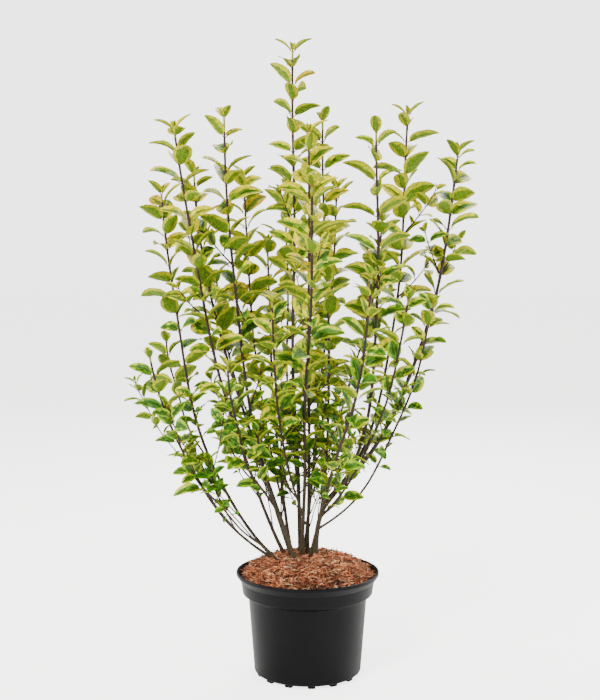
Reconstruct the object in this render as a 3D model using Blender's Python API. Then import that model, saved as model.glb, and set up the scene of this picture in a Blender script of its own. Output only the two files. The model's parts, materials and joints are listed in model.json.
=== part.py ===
"""Golden privet in a black nursery pot: pot, bark-covered compost, canes, boughs and leafy shoots.

The model stands on the floor plane, z = 0, with the pot's axis on x = y = 0. The front is -Y.
"""

import math
import random

import bmesh
import bpy
from mathutils import Vector
from mathutils.bvhtree import BVHTree

MM = 0.001
GAP = 0.0003  # what two solids that meet keep between them

# Pot, in metres
POT_HEIGHT = 0.167
LIP_RADIUS = 0.115
LIP_HEIGHT = 0.005
LIP_WIDTH = 0.0025
COLLAR_TOP = (0.1075, 0.152)  # radius and height
COLLAR_FOOT = (0.1047, 0.1325)
WALL_TOP = (0.0955, 0.1265)
WALL_FOOT_RADIUS = 0.0863
WALL_THICKNESS = 0.0016
FLOOR_THICKNESS = 0.0025
BASE_ROUNDING = 0.0026
POT_SEGMENTS = 36
FOOT_COUNT = 14
FOOT_HEIGHT = 0.004
FOOT_WIDTH = 0.013
FOOT_DEPTH = 0.012
FOOT_TAPER = 0.80
FOOT_FIRST_ANGLE = -86.0  # degrees, counted from +X

# Compost with its bark mulch: a flat crown where the canes stand, then down to the pot's collar
MULCH_TOP = 0.189
MULCH_FLAT_RADIUS = 0.056
MULCH_SHOULDERS = ((0.075, 0.183), (0.092, 0.173))
MULCH_EDGE_HEIGHT = 0.160

# Canes and shoots
CANE_SIDES = 6
TWIG_SIDES = 3
CANE_RING_SPACING = 0.045
TWIG_RING_SPACING = 0.065
ROOT_FLARE = 0.35  # share by which a cane is thicker where it leaves the ground
FLARE_HEIGHT = 0.018
BURIED = 0.012
TIP_RADIUS = 0.0012
CUTTER_OVERRUN = 0.040  # how far past a cane's bare part its side stems are kept clear of it
FOOT_HOLD = 0.28  # how far a limb keeps its first direction, as a share of its span
TIP_HOLD = 0.36  # and its last direction
SWAY = 0.0030
SWAY_WAVES = 1.7

# Side twigs in the leaf axils of the long shoots
TWIG_CHANCE = 0.14
TWIG_ZONE = (0.10, 0.62)  # the stretch of a shoot that bears them
TWIG_LENGTH = (0.055, 0.085)
TWIG_LEAN = 38.0
TWIG_RADIUS = 0.0012
TWIG_PAIR_SPACING = 0.030

# Leaves
PAIR_SPACING = 0.050
LEAF_LENGTH = 0.061
LEAF_WIDTH = 0.48  # share of the length
LEAF_WIDEST = 0.46
LEAF_FOLD = 0.26  # how far the two edges rise, as a share of the half width
LEAF_DROOP = 0.07  # how far the tip hangs, as a share of the length
LEAF_ROOT = 0.0017  # thickness where the leaf leaves its stem
ROOT_SINK = 0.0003  # how far the root goes past the stem's centre line
OPPOSITE_OFFSET = 0.0009  # along the stem, between the two leaves of a pair
TIP_LEAF_LENGTH = 0.027
CLEARANCE = 0.0008

# Every cane that rises from the ground, in millimetres and degrees:
# foot x and y, foot radius, lean, heading, tip x, y and z, tip lean, height where the leaves begin
CANES = {
    "left": (-46, 16, 2.6, 51, 180, -236, 40, 774, 5, 400),
    "left_front": (-33, 24, 2.8, 27, 182, -204, -60, 866, 8, 345),
    "middle_left": (-18, -6, 2.9, 18, 204, -184, 50, 806, 2, 350),
    "inner_left": (-22, 14, 2.9, 22, 180, -131, -10, 889, 1, 360),
    "leader": (-11, 32, 3.4, 3, 170, -24, 10, 1008, 0, 345),
    "front": (-9, 12, 3.0, 4, 275, 5, -185, 771, 4, 330),
    "centre_front": (0, 24, 2.6, 6, 280, 1, -90, 858, 2, 335),
    "centre_back": (5, 40, 2.8, 18, 25, 25, 85, 895, 1, 330),
    "right": (12, 22, 3.9, 62, 356, 246, 64, 845, 6, 420),
    "back": (-4, 52, 2.8, 16, 78, 52, 200, 792, 4, 340),
    "back_left": (-25, 44, 2.7, 22, 120, -70, 222, 700, 5, 330),
    "far_left": (-40, 3, 2.0, 64, 184, -240, -92, 519, 12, 330),
    "front_right": (2, 4, 2.6, 20, 296, 88, -218, 640, 6, 310),
    "thin_left": (-37, -17, 1.3, 46, 192, -174, -70, 330, 36, 285),
}

# The canes that rise as a straight stump before they bend out: its length, lean and heading
STUMPS = {"right": (86, 3, 30)}

# Every side shoot: parent, share of the parent's length, radius, lean, heading, tip x, y and z,
# tip lean, height where the leaves begin
SIDE_SHOOTS = {
    "left_back": ("left", 0.24, 1.6, 34, 165, -238, 110, 530, 6, 385),
    "low_left": ("front", 0.13, 1.8, 24, 212, -53, -150, 604, 3, 330),
    "low_front_left": ("middle_left", 0.14, 1.9, 46, 228, -116, -190, 515, 8, 300),
    "back_left_high": ("back_left", 0.14, 2.0, 26, 130, -109, 170, 812, 3, 400),
    "leader_back": ("leader", 0.13, 2.0, 18, 120, -36, 112, 802, 2, 360),
    "centre_right": ("right", 0.125, 2.9, 44, 340, 103, -72, 859, 0, 370),
    "right_back": ("right", 0.20, 2.5, 40, 30, 163, 62, 902, 3, 420),
    "low_right": ("right", 0.072, 1.8, 60, 350, 191, -62, 600, 10, 330),
    "front_right_low": ("front_right", 0.18, 1.8, 46, 345, 146, -150, 608, 10, 400),
    "right_back_low": ("centre_back", 0.14, 1.8, 40, 30, 104, 142, 606, 5, 380),
    "back_low": ("back", 0.21, 1.8, 36, 72, 20, 216, 610, 4, 370),
    "back_right": ("back", 0.15, 1.9, 34, 50, 132, 205, 735, 5, 380),
    "back_left_low": ("back_left", 0.28, 1.8, 44, 165, -160, 205, 640, 7, 370),
}

# The side shoots whose bare foot is a bough of its own
SIDE_BOUGHS = ("centre_right", "right_back")

# Short leafy sprigs low on the canes: parent, share of its length, lean, heading, length
SPRIGS = {
    "sprig_middle_left": ("middle_left", 0.24, 56, 262, 80),
    "sprig_leader": ("leader", 0.12, 62, 250, 80),
    "sprig_right": ("right", 0.10, 60, 300, 100),
    "sprig_left_front": ("left_front", 0.20, 55, 240, 90),
    "sprig_centre_back": ("centre_back", 0.18, 60, 0, 90),
    "sprig_back_left": ("back_left", 0.25, 58, 235, 90),
}
SPRIG_RADIUS = 0.0014
SPRIG_STRENGTH = 0.70  # leaf size against that of a full shoot
SCRAP_SHARE = 0.08  # the most of a joined mass that may be dropped as loose scraps
FIRST_SEED = 100

FINISHES = {  # colour and roughness
    "pot": ((0.020, 0.020, 0.022), 0.38),
    "mulch": ((0.300, 0.110, 0.055), 0.90),
    "bark": ((0.110, 0.070, 0.048), 0.70),
    "foliage": ((0.430, 0.480, 0.045), 0.45),
}


def clear_scene():
    for thing in list(bpy.data.objects):
        bpy.data.objects.remove(thing, do_unlink=True)


def material(name):
    """One Principled material for each kind of surface, made once."""
    if name in bpy.data.materials:
        return bpy.data.materials[name]
    colour, roughness = FINISHES[name]
    made = bpy.data.materials.new(name)
    made.use_nodes = True
    shader = made.node_tree.nodes["Principled BSDF"]
    shader.inputs["Base Color"].default_value = (*colour, 1.0)
    shader.inputs["Roughness"].default_value = roughness
    shader.inputs["Metallic"].default_value = 0.0
    return made


def add_object(name, mesh, finish=None):
    thing = bpy.data.objects.new(name, mesh)
    bpy.context.scene.collection.objects.link(thing)
    if finish:
        mesh.materials.append(material(finish))
    return thing


def mesh_from(name, corners, faces):
    """A mesh from corners and faces, with its faces turned outwards."""
    mesh = bpy.data.meshes.new(name)
    mesh.from_pydata([tuple(corner) for corner in corners], [], faces)
    shape = bmesh.new()
    shape.from_mesh(mesh)
    bmesh.ops.recalc_face_normals(shape, faces=shape.faces)
    shape.to_mesh(mesh)
    shape.free()
    return mesh


def turned(name, outline, finish):
    """A solid turned round Z from an outline of (radius, height) that starts and ends on the axis."""
    corners = []
    faces = []
    rings = []
    for radius, height in outline:
        count = 1 if radius == 0.0 else POT_SEGMENTS
        rings.append([len(corners) + step for step in range(count)])
        for step in range(count):
            angle = math.tau * step / POT_SEGMENTS
            corners.append((radius * math.cos(angle), radius * math.sin(angle), height))
    for lower, upper in zip(rings, rings[1:]):
        for step in range(POT_SEGMENTS):
            a, b = step % len(lower), (step + 1) % len(lower)
            c, d = (step + 1) % len(upper), step % len(upper)
            face = [lower[a], lower[b], upper[c], upper[d]]
            faces.append(tuple(dict.fromkeys(face)))
    mesh = mesh_from(name, corners, faces)
    mesh.shade_smooth()
    mesh.set_sharp_from_angle(angle=math.radians(30))
    return add_object(name, mesh, finish)


def shells(shape):
    """The separate shells of a bmesh, each a list of faces."""
    left = set(shape.faces)
    found = []
    while left:
        start = left.pop()
        shell, edge_of = [start], [start]
        while edge_of:
            for edge in edge_of.pop().edges:
                for face in edge.link_faces:
                    if face in left:
                        left.remove(face)
                        shell.append(face)
                        edge_of.append(face)
        found.append(shell)
    return found


def keep_main_shell(mesh):
    """Drops loose scraps and sealed hollows. True if what is left is closed and nearly everything."""
    shape = bmesh.new()
    shape.from_mesh(mesh)
    whole = len(shape.faces)
    found = sorted(shells(shape), key=len)
    for shell in found[:-1]:
        bmesh.ops.delete(shape, geom=shell, context="FACES")
    sound = all(len(edge.link_faces) == 2 for edge in shape.edges)
    sound = sound and len(shape.faces) > whole * (1 - SCRAP_SHARE)
    shape.to_mesh(mesh)
    shape.free()
    return sound


def fuse(base, parts, operation="UNION"):
    """One Boolean on a collection of parts, applied to base. The parts are then removed."""
    helper = bpy.data.collections.new("parts_to_fuse")
    bpy.context.scene.collection.children.link(helper)
    for part in parts:
        bpy.context.scene.collection.objects.unlink(part)
        helper.objects.link(part)
    modifier = base.modifiers.new("fuse", "BOOLEAN")
    modifier.operation = operation
    modifier.operand_type = "COLLECTION"
    modifier.collection = helper
    for solver in ("EXACT", "MANIFOLD"):
        modifier.solver = solver
        graph = bpy.context.evaluated_depsgraph_get()
        fused = bpy.data.meshes.new_from_object(base.evaluated_get(graph))
        if keep_main_shell(fused):
            break
    base.modifiers.clear()
    base.data = fused
    for part in list(helper.objects):
        bpy.data.objects.remove(part, do_unlink=True)
    bpy.data.collections.remove(helper)


def inner_radius(height):
    """Radius of the pot's inner face at a height between its floor and its lip."""
    levels = [(WALL_FOOT_RADIUS, FOOT_HEIGHT), WALL_TOP, COLLAR_FOOT, COLLAR_TOP, (LIP_RADIUS, POT_HEIGHT)]
    for (near, low), (far, high) in zip(levels, levels[1:]):
        if height <= high:
            return near + (far - near) * (height - low) / (high - low) - WALL_THICKNESS
    return LIP_RADIUS - WALL_THICKNESS


def pot_foot(index):
    """One of the small feet under the pot's edge, narrower at its sole."""
    angle = math.radians(FOOT_FIRST_ANGLE + 360.0 * index / FOOT_COUNT)
    outward = Vector((math.cos(angle), math.sin(angle), 0.0))
    sideways = Vector((-outward.y, outward.x, 0.0))
    outer = WALL_FOOT_RADIUS - BASE_ROUNDING - 0.0008
    corners = []
    for height, half in ((0.0, FOOT_WIDTH * FOOT_TAPER / 2), (FOOT_HEIGHT + FLOOR_THICKNESS / 2, FOOT_WIDTH / 2)):
        for radius, side in ((outer, 1), (outer, -1), (outer - FOOT_DEPTH, -1), (outer - FOOT_DEPTH, 1)):
            corners.append(outward * radius + sideways * side * half + Vector((0, 0, height)))
    faces = [(3, 2, 1, 0), (4, 5, 6, 7), (0, 1, 5, 4), (1, 2, 6, 5), (2, 3, 7, 6), (3, 0, 4, 7)]
    return add_object(f"foot_{index}", mesh_from("foot", corners, faces))


def build_pot():
    floor_top = FOOT_HEIGHT + FLOOR_THICKNESS
    outline = [
        (0.0, FOOT_HEIGHT),
        (WALL_FOOT_RADIUS - BASE_ROUNDING, FOOT_HEIGHT),
        (WALL_FOOT_RADIUS, FOOT_HEIGHT + BASE_ROUNDING),
        WALL_TOP,
        COLLAR_FOOT,
        COLLAR_TOP,
        (LIP_RADIUS, POT_HEIGHT - LIP_HEIGHT),
        (LIP_RADIUS, POT_HEIGHT),
        (LIP_RADIUS - LIP_WIDTH, POT_HEIGHT),
    ]
    for height in (COLLAR_TOP[1], COLLAR_FOOT[1] + GAP * 4, WALL_TOP[1] + GAP * 4, floor_top):
        outline.append((inner_radius(height), height))
    outline.append((0.0, floor_top))
    pot = turned("pot", outline, "pot")
    fuse(pot, [pot_foot(index) for index in range(FOOT_COUNT)])
    return pot


def build_mulch():
    """Compost that fills the pot, heaped to a flat crown where the canes stand."""
    floor = FOOT_HEIGHT + FLOOR_THICKNESS + GAP
    step = WALL_TOP[1] - GAP * 2
    shelf = COLLAR_FOOT[1] + GAP * 10
    outline = [
        (0.0, floor),
        (inner_radius(floor) - 2 * GAP, floor),
        (inner_radius(step) - 2 * GAP, step),
        (inner_radius(step) - 2 * GAP, shelf),
        (inner_radius(shelf) - 2 * GAP, shelf),
        (inner_radius(COLLAR_TOP[1]) - 2 * GAP, COLLAR_TOP[1]),
        (inner_radius(COLLAR_TOP[1]) - 2 * GAP, MULCH_EDGE_HEIGHT),
        *reversed(MULCH_SHOULDERS),
        (MULCH_FLAT_RADIUS, MULCH_TOP),
        (0.0, MULCH_TOP),
    ]
    return turned("mulch", outline, "mulch")


def direction(lean, heading):
    """Unit vector that leans from the vertical by lean degrees, towards heading degrees from +X."""
    tilt, turn = math.radians(lean), math.radians(heading)
    return Vector((math.sin(tilt) * math.cos(turn), math.sin(tilt) * math.sin(turn), math.cos(tilt)))


def across(tangent, angle):
    """Unit vector square to a stem, at an angle round it that is counted from +X."""
    flat = Vector((math.cos(angle), math.sin(angle), 0.0))
    return (flat - tangent * flat.dot(tangent)).normalized()


class Path:
    """A stem's centre line: one smooth bend from its foot to its tip, with a slight sway."""

    STEPS = 80
    STUMP_STEPS = 10

    def __init__(self, foot, foot_way, tip, tip_way, sway=SWAY, phase=0.0, stump=None):
        self.points = []
        if stump:
            top = foot + stump
            self.points = [foot.lerp(top, step / self.STUMP_STEPS) for step in range(self.STUMP_STEPS)]
            foot = top
        span = (tip - foot).length
        first, last = foot + foot_way * span * FOOT_HOLD, tip - tip_way * span * TIP_HOLD
        sideways = across((tip - foot).normalized(), phase)
        for step in range(self.STEPS + 1):
            t = step / self.STEPS
            s = 1 - t
            point = foot * s**3 + first * 3 * s * s * t + last * 3 * s * t * t + tip * t**3
            swing = sway * math.sin(math.tau * SWAY_WAVES * t + phase) * math.sin(math.pi * t)
            self.points.append(point + sideways * swing)
        self.lengths = [0.0]
        for a, b in zip(self.points, self.points[1:]):
            self.lengths.append(self.lengths[-1] + (b - a).length)
        self.length = self.lengths[-1]

    def at(self, distance):
        """Point and unit tangent at a distance along the line."""
        last = len(self.points) - 1
        index = 1
        while index < last and self.lengths[index] < distance:
            index += 1
        a, b = self.points[index - 1], self.points[index]
        share = (distance - self.lengths[index - 1]) / (self.lengths[index] - self.lengths[index - 1])
        before = self.points[max(index - 2, 0)]
        after = self.points[min(index + 1, last)]
        return a.lerp(b, min(max(share, 0.0), 1.0)), (after - before).normalized()

    def distance_at_height(self, height):
        """Distance along the line where it first rises past a height."""
        for point, length in zip(self.points, self.lengths):
            if point.z >= height:
                return length
        return self.length


class Limb:
    """A path with its taper from foot to tip, and the distance along it where its leaves begin."""

    def __init__(self, path, foot_radius, leaves_from, tip_radius=TIP_RADIUS, flared=False):
        self.path = path
        self.foot_radius = foot_radius
        self.tip_radius = tip_radius
        self.leaves_from = leaves_from
        self.flared = flared

    def radius(self, distance):
        share = max(1 - distance / self.path.length, 0.0)
        radius = self.tip_radius + (self.foot_radius - self.tip_radius) * share**0.85
        if self.flared:
            height = max(self.path.at(distance)[0].z - MULCH_TOP, 0.0)
            radius *= 1 + ROOT_FLARE * math.exp(-height / FLARE_HEIGHT)
        return radius


def limb_from_row(row, foot, phase, flared, stump=None):
    """A limb from its row's values: radius, lean and heading, tip, tip lean, leaf height."""
    radius, lean, heading, tip_x, tip_y, tip_z, tip_lean, leaf_height = row
    tip = Vector((tip_x, tip_y, tip_z)) * MM
    outward = math.degrees(math.atan2(tip.y - foot.y, tip.x - foot.x))
    path = Path(foot, direction(lean, heading), tip, direction(tip_lean, outward), phase=phase, stump=stump)
    leaves_from = path.distance_at_height(leaf_height * MM)
    return Limb(path, radius * MM, leaves_from, flared=flared)


def lay_out_limbs():
    """Every cane, side shoot and sprig by name, each with the name of its parent or None."""
    limbs, parents = {}, {}
    for number, (name, (x, y, *row)) in enumerate(CANES.items()):
        foot = Vector((x * MM, y * MM, MULCH_TOP - BURIED))
        stump = None
        if name in STUMPS:
            length, lean, heading = STUMPS[name]
            stump = direction(lean, heading) * (length * MM + BURIED)
        limbs[name] = limb_from_row(row, foot, 2.4 * number, True, stump)
        parents[name] = None
    for number, (name, (parent, share, *row)) in enumerate(SIDE_SHOOTS.items()):
        foot = limbs[parent].path.at(limbs[parent].path.length * share)[0]
        limbs[name] = limb_from_row(row, foot, 1.7 * number, False)
        parents[name] = parent
    for name, (parent, share, lean, heading, length) in SPRIGS.items():
        foot = limbs[parent].path.at(limbs[parent].path.length * share)[0]
        way = direction(lean, heading)
        tip = foot + way * length * MM + Vector((0, 0, length * MM * 0.35))
        path = Path(foot, way, tip, direction(15, heading), sway=0.0)
        limbs[name] = Limb(path, SPRIG_RADIUS, path.length * 0.32)
        parents[name] = parent
    return limbs, parents


def tube(name, limb, start, end, sides, spacing, wider=0.0, finish=None):
    """A tapering tube along a limb, with flat ends."""
    count = max(2, round((end - start) / spacing))
    corners, faces = [], []
    for ring in range(count + 1):
        distance = start + (end - start) * ring / count
        point, tangent = limb.path.at(distance)
        radius = limb.radius(distance) + wider
        right = across(tangent, 0.4)
        back = tangent.cross(right)
        for side in range(sides):
            angle = math.tau * side / sides
            corners.append(point + (right * math.cos(angle) + back * math.sin(angle)) * radius)
    for ring in range(count):
        for side in range(sides):
            a, b = ring * sides + side, ring * sides + (side + 1) % sides
            faces.append((a, b, b + sides, a + sides))
    faces.append(tuple(reversed(range(sides))))
    faces.append(tuple(range(count * sides, (count + 1) * sides)))
    return add_object(name, mesh_from(name, corners, faces), finish)


def cut_level(thing, height):
    """Cuts a cane off flat at a height and closes the cut."""
    shape = bmesh.new()
    shape.from_mesh(thing.data)
    geometry = list(shape.verts) + list(shape.edges) + list(shape.faces)
    cut = bmesh.ops.bisect_plane(
        shape, geom=geometry, dist=1e-7, plane_co=(0, 0, height), plane_no=(0, 0, 1), clear_inner=True
    )
    edges = [item for item in cut["geom_cut"] if isinstance(item, bmesh.types.BMEdge)]
    bmesh.ops.holes_fill(shape, edges=edges)
    bmesh.ops.recalc_face_normals(shape, faces=shape.faces)
    shape.to_mesh(thing.data)
    shape.free()


def cut_to_parent(thing, parent):
    """Hollows a side stem's foot to the cane it grows from, with the usual gap."""
    bare = parent.leaves_from
    cutters = []
    for start, end in ((0.0, bare), (bare - GAP, bare + CUTTER_OVERRUN)):
        cutters.append(tube("cutter", parent, start, end, CANE_SIDES, CANE_RING_SPACING, wider=GAP * 1.25))
    fuse(thing, cutters, "DIFFERENCE")


def clear_of_parent(limb, parent):
    """Distance along a side stem where it has come out of the cane it grows from."""
    room = parent.foot_radius + limb.foot_radius + 0.004
    for point, distance in zip(limb.path.points, limb.path.lengths):
        if min((point - other).length for other in parent.path.points) > room:
            return distance
    return limb.path.length


def leaf_shape(leaf):
    """Corners and faces of one leaf: a thin blade folded up along its midrib, hung at its tip."""
    root, tangent, outward, length, rise = leaf
    along = outward * math.cos(rise) + tangent * math.sin(rise)
    top = tangent * math.cos(rise) - outward * math.sin(rise)
    side = along.cross(top)
    half = length * LEAF_WIDTH / 2
    heel = root - outward * ROOT_SINK
    widest = root + along * length * LEAF_WIDEST + top * half * LEAF_FOLD
    corners = [
        heel + tangent * LEAF_ROOT / 2,
        heel - tangent * LEAF_ROOT / 2,
        widest + side * half,
        widest - side * half,
        root + along * length - top * length * LEAF_DROOP,
    ]
    faces = [(0, 2, 4), (0, 4, 3), (1, 4, 2), (1, 3, 4), (0, 1, 2), (0, 3, 1)]
    return corners, faces


class Crown:
    """What already stands in the crown, so that no leaf or twig runs into it."""

    def __init__(self):
        self.taken = []

    def add(self, corners, faces):
        middle = sum(corners, Vector()) / len(corners)
        reach = max((corner - middle).length for corner in corners)
        self.taken.append((middle, reach, BVHTree.FromPolygons(corners, faces)))

    def is_free(self, corners, faces):
        middle = sum(corners, Vector()) / len(corners)
        reach = max((corner - middle).length for corner in corners)
        tree = BVHTree.FromPolygons(corners, faces)
        for centre, size, standing in self.taken:
            if (centre - middle).length < reach + size and tree.overlap(standing):
                return False
        return True

    def add_stem(self, limb, start, end):
        """Takes up a stem's room in short four-sided sleeves."""
        count = max(1, round((end - start) / 0.03))
        for piece in range(count):
            corners = []
            for share in (piece / count, (piece + 1) / count):
                distance = start + (end - start) * share
                point, tangent = limb.path.at(distance)
                right = across(tangent, 0.4)
                back = tangent.cross(right)
                radius = limb.radius(distance) * 1.3 + CLEARANCE
                corners += [point + way * radius for way in (right, back, -right, -back)]
            faces = [(0, 1, 5, 4), (1, 2, 6, 5), (2, 3, 7, 6), (3, 0, 4, 7)]
            self.add(corners, faces)


def room_of(leaf):
    """A leaf's corners and faces a little enlarged, from where it has left its own stem."""
    corners, faces = leaf_shape(leaf)
    root, tangent, outward, length, rise = leaf
    middle = sum(corners, Vector()) / len(corners)
    grown = [corner + (corner - middle).normalized() * CLEARANCE for corner in corners]
    grown[0] = corners[0] + outward * 0.006
    grown[1] = corners[1] + outward * 0.006
    return grown, faces


def leaf_size(share, strength):
    """Leaf length along a shoot: smaller at its foot and towards its tip."""
    size = 1.0
    if share < 0.25:
        size = 0.66 + 0.34 * share / 0.25
    elif share > 0.8:
        size = 1.0 - 0.3 * (share - 0.8) / 0.2
    return LEAF_LENGTH * size * strength


def leaf_pair(limb, distance, turn, lengths, rises):
    """Two leaves on opposite sides of a stem, one a little higher than the other."""
    pair = []
    for side, length, rise in zip((0, 1), lengths, rises):
        point, tangent = limb.path.at(distance + (side - 0.5) * OPPOSITE_OFFSET)
        pair.append((point, tangent, across(tangent, turn + math.pi * side), length, math.radians(rise)))
    return pair


def shoot_leaves(limb, dice, strength, spacing):
    """The leaf pairs of one shoot, each pair turned a quarter from the last."""
    start, end = limb.leaves_from, limb.path.length
    distance = start + 0.008
    turn = dice.uniform(0, math.tau)
    pairs = []
    while distance < end - 0.014:
        share = (distance - start) / (end - start)
        lengths = [leaf_size(share, strength) * dice.uniform(0.86, 1.10) for side in (0, 1)]
        rises = [dice.uniform(16, 32) + 14 * share for side in (0, 1)]
        pairs.append(leaf_pair(limb, distance, turn + dice.uniform(-0.16, 0.16), lengths, rises))
        distance += spacing * (1.0 - 0.25 * share) * dice.uniform(0.92, 1.08)
        turn += math.pi / 2
    lengths = [TIP_LEAF_LENGTH * strength * dice.uniform(0.9, 1.1) for side in (0, 1)]
    pairs.append(leaf_pair(limb, end - 0.003, turn, lengths, (56, 50)))
    return pairs


def side_twig(leaf, dice):
    """A short side twig that rises from a leaf's axil."""
    point, tangent, outward = leaf[0], leaf[1], leaf[2]
    lean = math.radians(TWIG_LEAN)
    way = tangent * math.cos(lean) + outward * math.sin(lean)
    length = dice.uniform(*TWIG_LENGTH)
    foot = point + tangent * 0.003
    tip = foot + way * length + Vector((0, 0, length * 0.12))
    path = Path(foot, way, tip, (way + Vector((0, 0, 0.6))).normalized(), sway=0.0)
    return Limb(path, TWIG_RADIUS * 1.3, 0.022, tip_radius=TWIG_RADIUS)


def grow_mass(limb, stem, crown, dice, strength):
    """Grows one shoot's side twigs and leaves where there is room and fuses them to its stem."""
    parts = []
    leaves = []
    for pair in shoot_leaves(limb, dice, strength, PAIR_SPACING):
        share = (limb.path.lengths[-1] - (limb.path.points[-1] - pair[0][0]).length) / limb.path.length
        leaves += pair
        bears = dice.random() < TWIG_CHANCE and TWIG_ZONE[0] < share < TWIG_ZONE[1]
        if not bears or strength < 1.0:
            continue
        twig = side_twig(pair[dice.randrange(2)], dice)
        sleeve = tube("sleeve", twig, 0.010, twig.path.length, TWIG_SIDES, TWIG_RING_SPACING, wider=CLEARANCE)
        corners = [vertex.co.copy() for vertex in sleeve.data.vertices]
        faces = [tuple(face.vertices) for face in sleeve.data.polygons]
        bpy.data.objects.remove(sleeve, do_unlink=True)
        if crown.is_free(corners, faces):
            crown.add(corners, faces)
            parts.append(tube("twig", twig, 0.0, twig.path.length, TWIG_SIDES, TWIG_RING_SPACING))
            leaves += [item for twig_pair in shoot_leaves(twig, dice, 0.74, TWIG_PAIR_SPACING) for item in twig_pair]
    for leaf in leaves:
        room = room_of(leaf)
        if crown.is_free(*room):
            crown.add(*room)
            parts.append(add_object("leaf", mesh_from("leaf", *leaf_shape(leaf))))
    fuse(stem, parts)


def main():
    clear_scene()
    build_pot()
    build_mulch()

    limbs, parents = lay_out_limbs()
    crown = Crown()
    for name, limb in limbs.items():
        start = clear_of_parent(limb, limbs[parents[name]]) if parents[name] else 0.0
        crown.add_stem(limb, start, limb.path.length)

    for name in CANES:
        limb = limbs[name]
        cane = tube(f"cane_{name}", limb, 0.0, limb.leaves_from, CANE_SIDES, CANE_RING_SPACING, finish="bark")
        cut_level(cane, MULCH_TOP + GAP)
    for name in SIDE_BOUGHS:
        limb = limbs[name]
        bough = tube(f"bough_{name}", limb, 0.0, limb.leaves_from, CANE_SIDES, CANE_RING_SPACING, finish="bark")
        cut_to_parent(bough, limbs[parents[name]])

    for number, (name, limb) in enumerate(limbs.items()):
        meets_bough = name in CANES or name in SIDE_BOUGHS
        start = limb.leaves_from + GAP if meets_bough else 0.0
        stem = tube(f"foliage_{name}", limb, start, limb.path.length, TWIG_SIDES, TWIG_RING_SPACING, finish="foliage")
        if not meets_bough:
            cut_to_parent(stem, limbs[parents[name]])
        strength = SPRIG_STRENGTH if name in SPRIGS else 1.0
        grow_mass(limb, stem, crown, random.Random(FIRST_SEED + number), strength)


main()
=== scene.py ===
import json
import math
import random

import bpy
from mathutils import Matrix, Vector, noise
from mathutils.bvhtree import BVHTree

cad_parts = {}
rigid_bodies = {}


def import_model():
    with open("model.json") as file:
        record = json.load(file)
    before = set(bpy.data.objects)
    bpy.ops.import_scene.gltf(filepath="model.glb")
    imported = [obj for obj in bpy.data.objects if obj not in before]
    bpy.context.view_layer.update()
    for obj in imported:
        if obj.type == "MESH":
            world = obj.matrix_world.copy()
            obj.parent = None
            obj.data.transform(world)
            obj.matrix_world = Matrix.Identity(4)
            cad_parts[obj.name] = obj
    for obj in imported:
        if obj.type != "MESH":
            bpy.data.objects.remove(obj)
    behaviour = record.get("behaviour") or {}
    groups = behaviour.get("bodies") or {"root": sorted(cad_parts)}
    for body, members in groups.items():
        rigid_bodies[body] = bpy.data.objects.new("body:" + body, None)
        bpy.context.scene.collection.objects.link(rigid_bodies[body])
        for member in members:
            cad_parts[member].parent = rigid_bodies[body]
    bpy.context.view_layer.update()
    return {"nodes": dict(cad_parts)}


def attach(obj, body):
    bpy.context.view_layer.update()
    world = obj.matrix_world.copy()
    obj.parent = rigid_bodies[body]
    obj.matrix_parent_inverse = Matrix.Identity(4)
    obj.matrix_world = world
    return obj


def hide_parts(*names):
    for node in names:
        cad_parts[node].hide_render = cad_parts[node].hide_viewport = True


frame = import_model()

# Golden privet in a black nursery pot. Metres, +Z up, floor at z = 0, front towards -Y.
mm = 0.001


# sRGB hex to linear colour, made darker or lighter by a factor
def linear(hexText, level=1.0):
    shares = [int(hexText[place : place + 2], 16) / 255 for place in (1, 3, 5)]
    light = [share / 12.92 if share <= 0.04045 else ((share + 0.055) / 1.055) ** 2.4 for share in shares]
    return (*[min(share * level, 1.0) for share in light], 1.0)


# Sets a node's plain socket values and incoming links
def wire(tree, node, values=None, links=None):
    for name, value in (values or {}).items():
        node.inputs[name].default_value = value
    for name, source in (links or {}).items():
        tree.links.new(source, node.inputs[name])
    return node


# A node with its settings, socket values and incoming links
def addNode(tree, kind, values=None, links=None, **settings):
    node = tree.nodes.new(kind)
    for name, value in settings.items():
        setattr(node, name, value)
    return wire(tree, node, values, links)


def newMaterial(name):
    made = bpy.data.materials.new(name)
    made.use_nodes = True
    return made, made.node_tree, made.node_tree.nodes["Principled BSDF"]


def show(thing):
    bpy.context.scene.collection.objects.link(thing)
    return thing


# Puts a finished piece on the body, in place of the nodes it stands for
def placed(thing, nodes=()):
    show(thing)
    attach(thing, "root")
    if nodes:
        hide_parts(*nodes)
    print("piece", thing.name, len(thing.data.polygons), "faces")


# A colour that strays between two tones as a noise pattern does, and the pattern itself
def strayed(tree, place, values, dark, light, spread=None):
    share = pattern = addNode(tree, "ShaderNodeTexNoise", values, place).outputs["Fac"]
    if spread:
        share = addNode(tree, "ShaderNodeMapRange", spread, {"Value": pattern}).outputs["Result"]
    blend = addNode(tree, "ShaderNodeMix", {6: dark, 7: light}, {0: share}, data_type="RGBA")
    return blend.outputs[2], pattern


# The four faces between two rings of four corners
def boxSides(first):
    return [(first + k, first + (k + 1) % 4, first + 4 + (k + 1) % 4, first + 4 + k) for k in range(4)]


# The direction that lies at an angle from one way towards another
def slanted(way, towards, angle):
    return way * math.cos(angle) + towards * math.sin(angle)


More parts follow.
